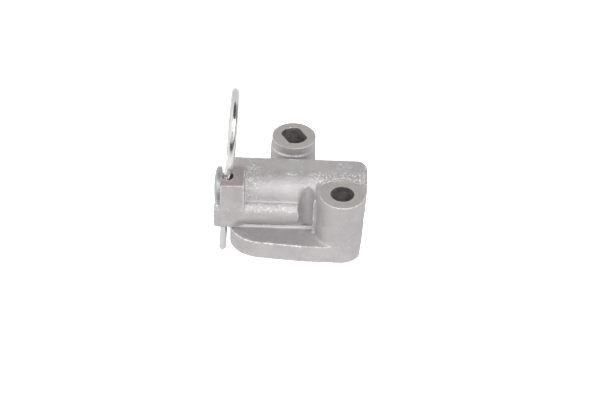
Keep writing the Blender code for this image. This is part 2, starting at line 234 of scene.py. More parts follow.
# small casting blemishes: x, y, z, radius, height (negative: a pit)
BLEMISHES = [
    (-11.4, -15.8, 5.95, 0.8, -0.10),
    (-4.8, -14.9, 5.95, 0.9, -0.10),
    (-17.0, -16.8, 5.95, 0.5, -0.08),
    (-28.0, -14.8, 13.4, 0.5, -0.16),
    (-27.6, -14.8, 14.6, 0.35, -0.08),
    (-2.0, -5.3, 22.0, 0.6, 0.12),
    (0.4, -6.0, 22.0, 0.7, 0.12),
    (2.1, -5.2, 22.0, 0.5, -0.12),
    (6.3, -1.9, 22.0, 0.6, 0.10),
    (7.6, -3.0, 22.0, 0.45, -0.12),
    (8.9, -1.2, 22.0, 0.5, 0.10),
    (12.6, -6.2, 21.9, 0.6, 0.13),
    (-8.0, -14.5, 14.0, 0.5, -0.07),
    (-12.8, -14.6, 11.9, 0.45, 0.06),
    (3.0, 4.8, 18.0, 0.9, -0.14),
    (-20.3, 5.1, 12.0, 0.7, 0.12),
    (14.9, 0.5, 9.5, 0.8, -0.12),
]


def coarse(p):
    """Where the skin is rougher: about the land's front edge, beside the lug, along the rib's crease."""
    x, y, z = p
    land = 1.35 * fade(-y, 4.2, 6.0) * fade(y, -10.6, -8.8) * fade(x, -3.4, -0.6) * fade(z, 20.0, 20.8)
    land = np.maximum(land, 0.8 * fade(-np.hypot(x - 8.0, y + 2.4), -3.2, -1.6) * fade(z, 20.0, 20.8))
    beside = 0.8 * fade(x, -21.8, -20.9) * fade(-x, 14.5, 19.0) * fade(z, 15.5, 17.0) * fade(-y, -4.0, -1.0)
    crease = 0.6 * fade(-np.abs(z - 14.2), -1.6, -0.6) * fade(-y, 11.9, 12.4) * fade(-x, 5.5, 8.5)
    lip = 0.9 * fade(-np.abs(x - LAND_X0 - 0.16 * (y + 3.0) ** 2), -0.5, -0.2) * fade(-y, 5.2, 6.0) * fade(y, -8.2, -7.2)
    seam = 0.5 * fade(-np.abs(z - PLATE_TOP), -0.28, -0.1) * fade(x, -1.0, 1.0) * fade(-y, 13.5, 15.0)
    return land + beside + crease + lip * fade(z, 19.5, 20.5) + seam


def cast_skin(p):
    """The casting before machining."""
    x, y, z = p
    outline = FLANGE(x, y)
    barrel = along_x(p, BORE_Y, BORE_Z, BARREL_R, BARREL_X0, BARREL_X1, 0.55, 3.0)
    rib = along_x(p, RIB_Y, RIB_Z, RIB_R, -24.0, RIB_X1, 0.5, 1.2)
    saddle = both(SADDLE(x, y), z - (BORE_Z - 0.4))
    saddle = both(saddle, 1.0 - z)
    share = np.clip((z - 6.0) / 14.0, 0, 1)
    column = both(COLUMN_FOOT(x, y) * (1 - share) + COLUMN_HEAD(x, y) * share, z - BOSS_TOP + 0.45, 0.9)
    column = join(column, upright(p, BOLT_X, -BOLT_Y, FRONT_BOSS_R, 2.0, BOSS_TOP + 0.1, 0, 0.42), 0.3)
    column = np.maximum(column, 1.0 - z)
    top = upright(p, -BOLT_X, BOLT_Y, BACK_BOSS_R, 8.0, BOSS_TOP + 0.16, 0, 0.42)
    step = upright(p, -BOLT_X - 0.12, BOLT_Y - 0.22, BACK_STEP_R, -0.7, BACK_STEP_Z, 0, 0.22, 0.026)
    web = both(both(WEB(x, y), z - 15.0, 0.8), 1.0 - z)
    back_rib = both(
        both(np.abs(x + 7.45) - (0.85 + 0.115 * (BOLT_Y - y)), z - 16.0, 0.6), np.maximum(12.0 - z, y - 12.0)
    )
    back_rib = np.maximum(back_rib, -y)

    # the lug for the pin: drafted front, its lower edge rounded like the rib, and a heel at the left
    front = LUG_Y0 - 0.045 * (LUG_TOP - z) - y
    sides = both(LUG_X0 - x, x - LUG_X1, 0.0)
    back = y - np.where(x > BARREL_X0 - 0.9, -3.6, LUG_Y1 - 1.2 * fade(-26.9 - x, 0.0, 1.7))
    lower = 0.894 * (-y - 14.48) + 0.448 * (11.36 - z) - 2.5 * fade(-21.2 - x, 0.0, 5.2) * fade(z, 5.4, 7.3)
    lug = both(front, lower, 1.3)
    lug = both(lug, 7.1 - 2.1 * fade(x, -26.4, -25.0) - z, 0.5)
    lug = both(both(lug, sides, 0.42), both(z - LUG_TOP, back, 0.4), 0.38)
    heel = box(p, -30.5, -26.5, -14.72, -11.2, 7.1, 14.2, 0.6)
    heel = join(heel, box(p, -30.0, -26.5, -14.6, -11.6, 12.0, 15.4, 0.5), 0.3)
    heel = join(heel, box(p, -30.3, -26.5, -13.0, -7.5, 7.1, 10.2, 0.5), 0.3)

    # the cast land on top of the barrel, its lip sharp in front and fading out over the top
    lip = LAND_X0 + 0.16 * (y + 3.0) ** 2 * (y < -3.0)
    blend = 0.5 + 9.0 * fade(y, -6.9, -4.8)
    over = np.sqrt(np.maximum(BARREL_R**2 - (y - BORE_Y) ** 2, 0)) + BORE_Z - LAND_Z
    height = LAND_Z + (np.maximum(over, 0) + 0.05) * (1 - fade(x - lip, -blend, 0.0))
    barrel = both(barrel, -both(y - 4.5, height - z, 0.7), 0.35)

    open_end = fade(13.9 - x, 0.0, 2.4)      # no fillet where the walls at the right end are flush
    body = join(saddle, barrel, 0.02 + 0.4 * open_end * fade(-y, -1.0, 2.0))
    body = join(body, rib, 0.35)
    body = join(body, web, 1.4)
    body = join(body, back_rib, 1.0)
    body = join(body, column, 0.02 + (0.35 + 0.9 * fade(x, 0.5, 3.0)) * open_end)
    # the relief between the rib's end and the front column
    relief = np.maximum(np.hypot(x + 2.8, y + 13.7 - 0.12 * (z - 8.0)) - 2.5, (PLATE_TOP - 0.1) - z)
    body = both(body, -relief, 0.24 + 0.65 * fade(-3.4 - x, 0.0, 1.6))
    # a thin seam of flash stands on the ridge between the relief and the column, another at the foot
    seam = np.maximum(np.hypot(x + 0.5, y + 13.8) - 0.55 * fade(19.2 - z, 0.0, 3.4), np.abs(z - 12.6) - 6.6)
    body = join(body, seam, 0.15 + 0.45 * fade(x, -0.7, -0.1))
    body = join(body, along_x(p, -11.95, 6.38, 0.36, -23.4, -0.6), 0.15)
    body = join(body, join(lug, heel, 0.35), 0.4)
    body = join(body, join(top, step, 0.2), 1.2)
    # the flange: its top meets the walls in a fillet, and its rim is rounded
    plate = both(outline, join(body, z - PLATE_TOP, 0.85), 0.34)
    body = np.maximum(np.minimum(body, plate), -0.7 - z)
    body = both(body, x - BARREL_X1 - 0.08 * (z - 20.0), 0.3)

    skin = body + 0.030 * LUMPS(p, 3.1) + 0.018 * LUMPS(p, 1.25)
    # the mould's parting line shows faintly, slanting up the front of the column
    parting = np.exp(-(((z - 6.35 - 0.35 * (x - 3.1)) / 0.28) ** 2)) * fade(x, 2.2, 3.2) * fade(-x, -12.6, -11.6)
    skin = skin - 0.15 * parting * fade(-y, 16.5, 17.5)
    skin = skin + 0.055 * coarse(p) * LUMPS((x + 40.0, y, z), 0.9)
    for bx, by, bz, radius, height in BLEMISHES:
        d2 = ((x - bx) ** 2 + (y - by) ** 2 + (z - bz) ** 2) / radius**2
        skin = skin - height * np.exp(-2.2 * d2)
    return skin


def cuts(p):
    """What machining removes, each as (name, field), negative inside the removed space."""
    x, y, z = p
    front = np.hypot(x - BOLT_X, y + BOLT_Y)
    back = np.hypot(x + BOLT_X, y - BOLT_Y)
    slot = SLOT(x, y) - 1.1
    seat = np.hypot(x - BOLT_X, y + BOLT_Y + 0.3)
    along = x - PIN_X20 - PIN_LEAN * (z - 20)         # the hole is drawn out to the right
    pin = np.hypot(along - np.clip(along, 0.12, 0.6), y - PIN_Y - 0.06 - 0.15 * np.clip(along, 0.12, 0.6))
    mouth = np.hypot(along - 0.15, y - PIN_Y + 0.45) - PIN_HOLE_R - 0.6 + (LUG_TOP - z)
    axis = np.hypot(y - BORE_Y, z - BORE_Z)
    inlet = np.hypot(x - INLET_X, y - BORE_Y)
    return [
        ("mounting_face", z),
        ("front_seat", np.maximum(seat - 6.75, BOSS_TOP - z)),
        ("back_seat", np.maximum(back - 8.5, BOSS_TOP - z)),
        ("front_hole", front - FRONT_HOLE_R),
        ("front_edge", np.maximum((front - FRONT_HOLE_R - 0.05 + (BOSS_TOP - z)) * 0.7071, np.abs(BOSS_TOP - z) - 0.5)),
        ("front_edge_low", np.maximum((front - FRONT_HOLE_R - 0.3 + z) * 0.7071, z - 2)),
        ("back_hole", slot),
        ("back_edge", np.maximum((slot - 0.12 + (BOSS_TOP - z)) * 0.7071, np.abs(BOSS_TOP - z) - 0.5)),
        ("back_edge_low", np.maximum((slot - 0.25 + z) * 0.7071, z - 2)),
        ("pin_hole", np.maximum(pin - PIN_HOLE_R, -2.2 - z)),
        ("pin_edge", np.maximum(mouth * 0.7071, np.abs(LUG_TOP - z) - 1.3)),
        ("bore", np.maximum(axis - BORE_R - 0.3 * fade(-24.6 - x, 0.0, 0.6), x - BORE_END)),
        ("bore_edge", np.maximum((axis - BORE_R - 0.45 + (x - BARREL_X0)) * 0.7071, np.abs(x - BARREL_X0) - 0.7)),
        ("reservoir", np.maximum(axis - 3.4, x - 13.3)),
        ("inlet", np.maximum(inlet - INLET_R, z - BORE_Z)),
        ("inlet_recess", np.maximum(np.hypot(x - INLET_X + 0.5, y - BORE_Y) - 1.9, z - 1.0)),
    ]


def housing_field(p):
    value = cast_skin(p)
    for _, cut in cuts(p):
        value = np.maximum(value, -cut)
    return value


# ---- contouring -------------------------------------------------------------------------------------
def contour(field, lo, hi, h):
    """Dual contouring: vertices on the surface's own edges and corners. Returns points and triangles."""
    lo = np.array(lo, float)
    n = np.ceil((np.array(hi) - lo) / h).astype(int) + 1
    axes = [lo[a] + h * np.arange(n[a]) for a in range(3)]
    values = np.empty(tuple(n))
    slab = 12
    for i in range(0, n[0], slab):
        xs = axes[0][i : i + slab]
        grid = np.meshgrid(xs, axes[1], axes[2], indexing="ij")
        values[i : i + slab] = field(grid)
    inside = values < 0
    cells, normals, points, quads, flips = [], [], [], [], []
    shape = n - 1
    for axis in range(3):
        a = [slice(None)] * 3
        b = [slice(None)] * 3
        a[axis], b[axis] = slice(None, -1), slice(1, None)
        change = inside[tuple(a)] != inside[tuple(b)]
        where = np.argwhere(change)
        f0 = values[tuple(a)][change]
        f1 = values[tuple(b)][change]
        start = lo + where * h
        step = np.zeros(3)
        step[axis] = h
        t0, t1 = np.zeros(len(f0)), np.ones(len(f0))
        g0, g1 = f0.copy(), f1.copy()
        t = g0 / (g0 - g1)
        for _ in range(5):
            g = field(list((start + t[:, None] * step).T))
            same = (g < 0) == (g0 < 0)
            t0, g0 = np.where(same, t, t0), np.where(same, g, g0)
            t1, g1 = np.where(same, t1, t), np.where(same, g1, g)
            t = t0 + (t1 - t0) * np.clip(g0 / (g0 - g1), 0.08, 0.92)
        p = start + t[:, None] * step
        eps = 0.012
        grad = np.stack(
            [
                field([p[:, 0] + eps * (k == 0), p[:, 1] + eps * (k == 1), p[:, 2] + eps * (k == 2)])
                - field([p[:, 0] - eps * (k == 0), p[:, 1] - eps * (k == 1), p[:, 2] - eps * (k == 2)])
                for k in range(3)
            ],
            axis=1,
        )
        grad /= np.linalg.norm(grad, axis=1)[:, None] + 1e-12
        u, v = (axis + 1) % 3, (axis + 2) % 3
        ring = []
        for du, dv in ((-1, -1), (0, -1), (0, 0), (-1, 0)):
            c = where.copy()
            c[:, u] += du
            c[:, v] += dv
            ring.append((c[:, 0] * shape[1] + c[:, 1]) * shape[2] + c[:, 2])
        quads.append(np.stack(ring, axis=1))
        flips.append(f0 > 0)
        points.append(p)
        normals.append(grad)
    quads, flips = np.vstack(quads), np.concatenate(flips)
    points, normals = np.vstack(points), np.vstack(normals)
    cell, index = np.unique(quads.ravel(), return_inverse=True)
    index = index.reshape(quads.shape)
    count = len(cell)
    where = np.stack([cell // (shape[1] * shape[2]), cell // shape[2] % shape[1], cell % shape[2]], axis=1)
    centre = lo + (where + 0.5) * h

    flat = index.ravel()
    q = np.repeat(points, 4, axis=0) - centre[flat]
    nn = np.repeat(normals, 4, axis=0)
    times = np.bincount(flat, minlength=count).astype(float)
    mean = np.stack([np.bincount(flat, q[:, k], count) for k in range(3)], axis=1) / times[:, None]
    off = np.einsum("ij,ij->i", nn, q - mean[flat])
    ata = np.zeros((count, 3, 3))
    for r in range(3):
        for c in range(r, 3):
            ata[:, r, c] = ata[:, c, r] = np.bincount(flat, nn[:, r] * nn[:, c], count)
    atb = np.stack([np.bincount(flat, nn[:, k] * off, count) for k in range(3)], axis=1)
    w, vectors = np.linalg.eigh(ata)
    keep = w > 0.06 * w[:, 2:3]
    inverse = np.where(keep, 1 / np.where(keep, w, 1), 0)
    x = np.einsum("nij,nj,nkj,nk->ni", vectors, inverse, vectors, atb)
    x = np.clip(mean + x, -0.5 * h, 0.5 * h)
    verts = centre + x

    index[flips] = index[flips][:, ::-1]
    a, b, c, d = index.T
    mid_ac = np.abs(field(list(((verts[a] + verts[c]) / 2).T)))
    mid_bd = np.abs(field(list(((verts[b] + verts[d]) / 2).T)))
    ac = (mid_ac <= mid_bd)[:, None]
    first = np.where(ac, np.stack([a, b, c], 1), np.stack([a, b, d], 1))
    second = np.where(ac, np.stack([a, c, d], 1), np.stack([b, c, d], 1))
    return verts, np.vstack([first, second])


def mesh_from(name, verts, faces):
    mesh = bpy.data.meshes.new(name)
    mesh.vertices.add(len(verts))
    mesh.vertices.foreach_set("co", np.asarray(verts, np.float32).ravel() * MM)
    mesh.loops.add(len(faces) * 3)
    mesh.loops.foreach_set("vertex_index", np.asarray(faces, np.int32).ravel())
    mesh.polygons.add(len(faces))
    mesh.polygons.foreach_set("loop_start", np.arange(0, len(faces) * 3, 3, dtype=np.int32))
    mesh.update(calc_edges=True)
    mesh.validate()
    return mesh


def link(name, mesh):
    obj = bpy.data.objects.new(name, mesh)
    bpy.context.scene.collection.objects.link(obj)
    return obj


def make_housing(cast_mat, machined_mat, drilled_mat):
    verts, faces = contour(housing_field, (-31.6, -22.4, -1.3), (16.6, 23.2, 24.3), GRID)
    mesh = mesh_from("tensioner_casting", verts, faces)
    obj = link("tensioner_casting", mesh)
    for m in (cast_mat, machined_mat, drilled_mat):
        mesh.materials.append(m)

    tris = np.empty(len(mesh.polygons) * 3, np.int32)
    mesh.polygons.foreach_get("vertices", tris)
    co = np.empty(len(mesh.vertices) * 3)
    mesh.vertices.foreach_get("co", co)
    co = co.reshape(-1, 3) / MM
    mid = co[tris.reshape(-1, 3)].mean(1)
    p = list(mid.T)
    skin = cast_skin(p)
    fields = cuts(p)
    stack = np.stack([-f for _, f in fields])
    best = stack.argmax(0)
    kind = np.where(stack.max(0) > skin - 0.01, best + 1, 0)
    turned = {"mounting_face", "front_seat", "back_seat"}
    which = np.array([0] + [1 if name in turned else 2 for name, _ in fields])
    mesh.polygons.foreach_set("material_index", which[kind].astype(np.int32))
    mesh.shade_smooth()

    # how sharply the skin turns, for the painted highlight and wear of its edges and the painted shade of its corners
    turn = -6.0 * housing_field(list(co.T))
    for axis in range(3):
        for way in (-0.3, 0.3):
            moved = co.copy()
            moved[:, axis] += way
            turn = turn + housing_field(list(moved.T))
    edge_light_shade_and_wear = mesh.attributes.new("turning", "FLOAT", "POINT")
    edge_light_shade_and_wear.data.foreach_set("value", np.clip(turn / 0.09, -4, 4).astype(np.float32))
    grit = mesh.attributes.new("coarse", "FLOAT", "POINT")
    grit.data.foreach_set("value", coarse(list(co.T)).astype(np.float32))

    # an edge is sharp where two differently made surfaces meet, or where it turns steeply
    bm = bmesh.new()
    bm.from_mesh(mesh)
    bm.faces.ensure_lookup_table()
    for edge in bm.edges:
        if len(edge.link_faces) == 2:
            f, g = edge.link_faces
            angle = edge.calc_face_angle(0.0)
            if (kind[f.index] != kind[g.index] and angle > 0.2) or angle > 1.0:
                edge.smooth = False
    bm.to_mesh(mesh)
    bm.free()
    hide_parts("housing")
    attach(obj, "body")
    return obj


# ---- swept wires and turned parts -----------------------------------------------------------------
def sweep(name, path, radius, sides, cap=0.25):
    """A round wire along a path in millimetres, its ends slightly rounded off."""
    pts = [Vector(p) for p in path]
    tangents = []
    for i in range(len(pts)):
        a, b = pts[max(i - 1, 0)], pts[min(i + 1, len(pts) - 1)]
        tangents.append((b - a).normalized())
    normal = tangents[0].orthogonal().normalized()
    bm = bmesh.new()
    rings = []

    def ring(centre, r, n, t):
        side = t.cross(n)
        return [
            bm.verts.new(
                (centre + (n * math.cos(a) + side * math.sin(a)) * r) * MM
            )
            for a in (2 * math.pi * k / sides for k in range(sides))
        ]

    frames = []
    for t in tangents:
        normal = (normal - t * normal.dot(t)).normalized()
        frames.append(normal.copy())
    rings.append(ring(pts[0], radius - cap, frames[0], tangents[0]))
    rings.append(ring(pts[0] + tangents[0] * cap * 0.3, radius - cap * 0.3, frames[0], tangents[0]))
    rings.append(ring(pts[0] + tangents[0] * cap, radius, frames[0], tangents[0]))
    for i in range(1, len(pts) - 1):
        rings.append(ring(pts[i], radius, frames[i], tangents[i]))
    rings.append(ring(pts[-1] - tangents[-1] * cap, radius, frames[-1], tangents[-1]))
    rings.append(ring(pts[-1] - tangents[-1] * cap * 0.3, radius - cap * 0.3, frames[-1], tangents[-1]))
    rings.append(ring(pts[-1], radius - cap, frames[-1], tangents[-1]))
    for lower, upper in zip(rings, rings[1:]):
        for k in range(sides):
            j = (k + 1) % sides
            bm.faces.new((lower[k], lower[j], upper[j], upper[k]))
    start = bm.verts.new(pts[0] * MM)
    end = bm.verts.new(pts[-1] * MM)
    for k in range(sides):
        j = (k + 1) % sides
        bm.faces.new((start, rings[0][j], rings[0][k]))
        bm.faces.new((end, rings[-1][k], rings[-1][j]))
    bmesh.ops.recalc_face_normals(bm, faces=bm.faces)
    mesh = bpy.data.meshes.new(name)
    bm.to_mesh(mesh)
    bm.free()
    mesh.shade_smooth()
    mesh.set_sharp_from_angle(angle=math.radians(50))
    return link(name, mesh)


def pin_path():
    def at(y, z):
        if z <= 22.0:
            x = PIN_X20 + PIN_LEAN * (z - 20)
        elif z >= 28.0:
            x = LOOP_X28 + LOOP_LEAN * (z - 28)
        else:
            s = (z - 22.0) / 6.0
            low, high = PIN_X20 + PIN_LEAN * 2.0, LOOP_X28
            x = (
                (2 * s**3 - 3 * s**2 + 1) * low
                + (s**3 - 2 * s**2 + s) * 6.0 * PIN_LEAN
                + (3 * s**2 - 2 * s**3) * high
                + (s**3 - s**2) * 6.0 * LOOP_LEAN
            )
        return Vector((x + LOOP_TURN * y, PIN_Y + y, z))

    points = [at(0, z) for z in np.linspace(PIN_TIP_Z, 22.0, 24)]
    points += [at(0, z) for z in np.linspace(22.4, SHANK_TOP_Z - 0.3, 9)]
    bend, turn = 2.2, math.radians(70)
    for a in np.linspace(0, turn, 14):
        points.append(at(-bend * (1 - math.cos(a)), SHANK_TOP_Z + bend * math.sin(a)))
    for a in np.radians(np.linspace(20, 350, 150))[1:]:
        points.append(at(-LOOP_R * math.sin(a), LOOP_Z - LOOP_R * math.cos(a)))
    return points


def turned(name, profile, segments, fillets=None):
    """Body of revolution about the bore axis from a closed ring of (x, radius) points."""
    bm = bmesh.new()
    rings = []
    for x, radius in profile:
        rings.append(
            [
                bm.verts.new(
                    (
                        x * MM,
                        (BORE_Y + radius * math.cos(2 * math.pi * k / segments)) * MM,
                        (BORE_Z + radius * math.sin(2 * math.pi * k / segments)) * MM,
                    )
                )
                for k in range(segments)
            ]
        )
    for lower, upper in zip(rings, rings[1:] + rings[:1]):
        for k in range(segments):
            j = (k + 1) % segments
            bm.faces.new((lower[k], lower[j], upper[j], upper[k]))
    bmesh.ops.recalc_face_normals(bm, faces=bm.faces)
    mesh = bpy.data.meshes.new(name)
    bm.to_mesh(mesh)
    bm.free()
    mesh.shade_smooth()
    mesh.set_sharp_from_angle(angle=math.radians(35))
    return link(name, mesh)


def softened(corners, steps=4):
    """Closed profile whose corners (x, r, edge radius) are rounded."""
    out = []
    count = len(corners)
    for i, (x, r, edge) in enumerate(corners):
        here = Vector((x, r))
        before = Vector(corners[i - 1][:2])
        after = Vector(corners[(i + 1) % count][:2])
        if edge <= 0:
            out.append((x, r))
            continue
        a, b = (before - here).normalized(), (after - here).normalized()
        half = a.angle(b) / 2
        reach = min(edge / math.tan(half), 0.45 * (before - here).length, 0.45 * (after - here).length)
        p0, p1 = here + a * reach, here + b * reach
        for k in range(steps + 1):
            s = k / steps
            q = p0 * (1 - s) ** 2 + here * 2 * s * (1 - s) + p1 * s**2
            out.append((q.x, q.y))
    return out


# ---- materials -----------------------------------------------------------------------------------
class Graph:
    """Small helper for building a shader node tree."""

    def __init__(self, name):
        self.mat = bpy.data.materials.new(name)
        self.mat.use_nodes = True
        self.tree = self.mat.node_tree
        self.shader = self.tree.nodes["Principled BSDF"]
        self.coords = self.node("ShaderNodeTexCoord")
        self.object = self.coords.outputs["Object"]

    def node(self, kind, **values):
        made = self.tree.nodes.new(kind)
        for key, value in values.items():
            setattr(made, key, value)
        return made

    def put(self, socket, value):
        if isinstance(value, bpy.types.NodeSocket):
            self.tree.links.new(value, socket)
        elif value is not None:
            socket.default_value = value

    def noise(self, scale, detail=3.0, roughness=0.5, vector=None, distortion=0.0):
        n = self.node("ShaderNodeTexNoise")
        n.inputs["Scale"].default_value = scale
        n.inputs["Detail"].default_value = detail
        n.inputs["Roughness"].default_value = roughness
        n.inputs["Distortion"].default_value = distortion
        self.put(n.inputs["Vector"], vector or self.object)
        return n.outputs["Fac"]

    def cells(self, scale, feature="F1", vector=None):
        n = self.node("ShaderNodeTexVoronoi", feature=feature)
        n.inputs["Scale"].default_value = scale
        self.put(n.inputs["Vector"], vector or self.object)
        return n.outputs["Distance"]

    def ramp(self, value, low, high, out_low=0.0, out_high=1.0):
        n = self.node("ShaderNodeMapRange")
        n.interpolation_type = "SMOOTHSTEP"
        self.put(n.inputs["Value"], value)
        n.inputs["From Min"].default_value = low
        n.inputs["From Max"].default_value = high
        n.inputs["To Min"].default_value = out_low
        n.inputs["To Max"].default_value = out_high
        return n.outputs["Result"]

    def math(self, op, a, b=None, c=None):
        n = self.node("ShaderNodeMath", operation=op)
        for socket, value in zip(n.inputs, (a, b, c)):
            self.put(socket, value)
        return n.outputs[0]

    def mix(self, factor, a, b, blend="MIX"):
        n = self.node("ShaderNodeMix", data_type="RGBA", blend_type=blend)
        self.put(n.inputs[0], factor)
        self.put(n.inputs[6], (*a, 1.0) if isinstance(a, tuple) else a)
        self.put(n.inputs[7], (*b, 1.0) if isinstance(b, tuple) else b)
        return n.outputs[2]

    def stretch(self, scale, vector=None):
        n = self.node("ShaderNodeMapping")
        self.put(n.inputs["Vector"], vector or self.object)
        n.inputs["Scale"].default_value = scale
        return n.outputs["Vector"]

    def split(self, vector=None):
        n = self.node("ShaderNodeSeparateXYZ")
        self.put(n.inputs[0], vector or self.object)
        return n.outputs

    def bump(self, height, distance, strength=1.0, below=None):
        n = self.node("ShaderNodeBump")
        n.inputs["Strength"].default_value = strength
        n.inputs["Distance"].default_value = distance
        self.put(n.inputs["Height"], height)
        if below is not None:
            self.put(n.inputs["Normal"], below)
        return n.outputs["Normal"]


def cast_aluminium():
    g = Graph("cast_aluminium_blasted")
    grain = g.noise(1500, 4.0, 0.68)
    medium = g.noise(720, 3.0, 0.55)
    large = g.noise(150, 2.0, 0.5)
    peen = g.cells(1900)
    # base grey with slow patches and fine salt-and-pepper of the blasted skin
    tone = g.mix(g.ramp(large, 0.35, 0.68), (0.49, 0.466, 0.472), (0.545, 0.524, 0.527))
    tone = g.mix(g.ramp(medium, 0.40, 0.70, 0.0, 0.45), tone, (0.60, 0.582, 0.585))
    tone = g.mix(g.ramp(grain, 0.58, 0.74, 0.0, 0.55), tone, (0.78, 0.765, 0.77))
    tone = g.mix(g.ramp(grain, 0.40, 0.26, 0.0, 0.50), tone, (0.33, 0.31, 0.315))
    # painted light: convex edges are lighter, a painted highlight that also stands for burnished wear; crevices are
    # darker, painted shade
    shape = g.node("ShaderNodeAttribute", attribute_name="turning").outputs["Fac"]
    shape = g.math("ADD", shape, g.ramp(medium, 0.3, 0.7, -0.5, 0.5))
    tone = g.mix(g.ramp(shape, 1.1, 2.7, 0.0, 0.7), tone, (0.88, 0.865, 0.86))
    tone = g.mix(g.ramp(shape, -1.2, -2.6, 0.0, 0.15), tone, (0.36, 0.335, 0.34))
    # painted shadow of the pin and its loop, brownish, on top of the lug and on the barrel's left end
    x, y, z = g.split()
    painted_pin_shadow = g.math("MULTIPLY", g.ramp(x, -0.0205, -0.0225), g.ramp(z, 0.0221, 0.0225))
    painted_pin_shadow = g.math("MULTIPLY", painted_pin_shadow, g.math("MULTIPLY", g.ramp(large, 0.25, 0.6, 0.6, 1.0), g.ramp(y, -0.0030, -0.0060)))
    tone = g.mix(painted_pin_shadow, tone, (0.78, 0.70, 0.72), "MULTIPLY")
    # bright torn specks, most of them where the skin is coarse or turns over an edge; along the edges they add to the
    # painted edge highlight
    grit = g.node("ShaderNodeAttribute", attribute_name="coarse").outputs["Fac"]
    grit = g.math("ADD", g.math("MULTIPLY_ADD", grit, 0.62, 0.05), g.ramp(shape, 0.9, 2.2, 0.0, 0.8))
    specks = g.noise(1700, 2.0, 0.65)
    tone = g.mix(g.math("MULTIPLY", g.ramp(specks, 0.54, 0.64), grit), tone, (0.97, 0.96, 0.96))
    tone = g.mix(g.math("MULTIPLY", g.ramp(specks, 0.43, 0.35), g.math("MULTIPLY", grit, 0.5)), tone, (0.30, 0.28, 0.285))
    g.put(g.shader.inputs["Base Color"], tone)
    g.shader.inputs["Metallic"].default_value = 0.6
    rough = g.math("ADD", g.ramp(medium, 0.3, 0.7, 0.50, 0.62), g.ramp(grain, 0.3, 0.7, -0.05, 0.06))
    g.put(g.shader.inputs["Roughness"], rough)
    low = g.bump(large, 0.00012, 0.5)
    mid = g.bump(medium, 0.00010, 0.55, low)
    fine = g.bump(peen, 0.00006, 0.45, mid)
    g.put(g.shader.inputs["Normal"], g.bump(grain, 0.00011, 0.8, fine))
    return g.mat


def machined_aluminium():
    """Faced surfaces: fine rings about each bolt hole, cutter marks on the mounting face."""
    g = Graph("machined_aluminium")
    x, y, z = g.split()
    radii = []
    for bx, by in ((BOLT_X, -BOLT_Y), (-BOLT_X, BOLT_Y)):
        dx = g.math("SUBTRACT", x, bx * MM)
        dy = g.math("SUBTRACT", y, by * MM)
        radii.append(g.math("SQRT", g.math("ADD", g.math("MULTIPLY", dx, dx), g.math("MULTIPLY", dy, dy))))
    nearest = g.math("MINIMUM", *radii)
    rings = g.node("ShaderNodeCombineXYZ")
    g.put(rings.inputs[0], g.math("MULTIPLY", nearest, 9000.0))
    g.put(rings.inputs[1], g.math("MULTIPLY", z, 300.0))
    feed = g.noise(1.0, 2.0, 0.6, rings.outputs[0])
    swirl = g.noise(420, 3.0, 0.6)
    dust = g.noise(2400, 3.0, 0.6)
    tone = g.mix(g.ramp(feed, 0.3, 0.7), (0.50, 0.482, 0.468), (0.60, 0.58, 0.565))
    tone = g.mix(g.ramp(swirl, 0.42, 0.72, 0.0, 0.4), tone, (0.66, 0.64, 0.625))
    tone = g.mix(g.ramp(dust, 0.62, 0.75, 0.0, 0.4), tone, (0.36, 0.345, 0.335))
    # painted highlight: convex edges of the faced surfaces are lighter
    shape = g.node("ShaderNodeNewGeometry").outputs["Pointiness"]
    tone = g.mix(g.ramp(shape, 0.52, 0.62, 0.0, 0.6), tone, (0.85, 0.84, 0.83))
    g.put(g.shader.inputs["Base Color"], tone)
    g.shader.inputs["Metallic"].default_value = 0.9
    g.put(g.shader.inputs["Roughness"], g.math("ADD", g.ramp(feed, 0.3, 0.7, 0.36, 0.48), g.ramp(swirl, 0.3, 0.7, -0.04, 0.06)))
    g.put(g.shader.inputs["Normal"], g.bump(feed, 0.00002, 0.6, g.bump(dust, 0.00003, 0.3)))
    return g.mat


def drilled_aluminium():
    """Bored walls: darker, with lines round the bore left by the drill."""
    g = Graph("drilled_aluminium")
    lines = g.noise(1.0, 3.0, 0.65, g.stretch((300, 300, 5200)))
    blotch = g.noise(500, 3.0, 0.6)
    tone = g.mix(g.ramp(lines, 0.3, 0.7), (0.36, 0.34, 0.33), (0.62, 0.60, 0.585))
    tone = g.mix(g.ramp(blotch, 0.42, 0.66, 0.0, 0.6), tone, (0.20, 0.185, 0.18))
    tone = g.mix(g.ramp(g.noise(1100, 3.0, 0.6), 0.58, 0.70, 0.0, 0.5), tone, (0.78, 0.76, 0.745))
    g.put(g.shader.inputs["Base Color"], tone)
    g.shader.inputs["Metallic"].default_value = 0.85
    g.put(g.shader.inputs["Roughness"], g.ramp(lines, 0.3, 0.7, 0.34, 0.5))
    g.put(g.shader.inputs["Normal"], g.bump(lines, 0.00003, 0.6))
    return g.mat


def zinc_wire():
    g = Graph("bright_zinc_wire")
    draw = g.noise(1.0, 3.0, 0.6, g.stretch((4200, 4200, 260)))
    spots = g.noise(1500, 3.0, 0.6)
    slow = g.noise(170, 2.0, 0.5)
    tone = g.mix(g.ramp(slow, 0.35, 0.65), (0.78, 0.785, 0.77), (0.86, 0.86, 0.85))
    tone = g.mix(g.ramp(spots, 0.60, 0.78, 0.0, 0.45), tone, (0.55, 0.55, 0.54))
    # the wire is a little darker towards its lower end
    darker_tip = g.math("MULTIPLY", g.ramp(g.split()[2], 0.009, 0.006), g.ramp(slow, 0.25, 0.6, 0.65, 1.0))
    tone = g.mix(darker_tip, tone, (0.84, 0.84, 0.85), "MULTIPLY")
    g.put(g.shader.inputs["Base Color"], tone)
    g.shader.inputs["Metallic"].default_value = 1.0
    g.put(g.shader.inputs["Roughness"], g.math("ADD", g.ramp(draw, 0.3, 0.7, 0.13, 0.22), g.ramp(spots, 0.5, 0.8, 0.0, 0.12)))
    g.put(g.shader.inputs["Normal"], g.bump(draw, 0.00002, 0.35, g.bump(slow, 0.0002, 0.25)))
    return g.mat


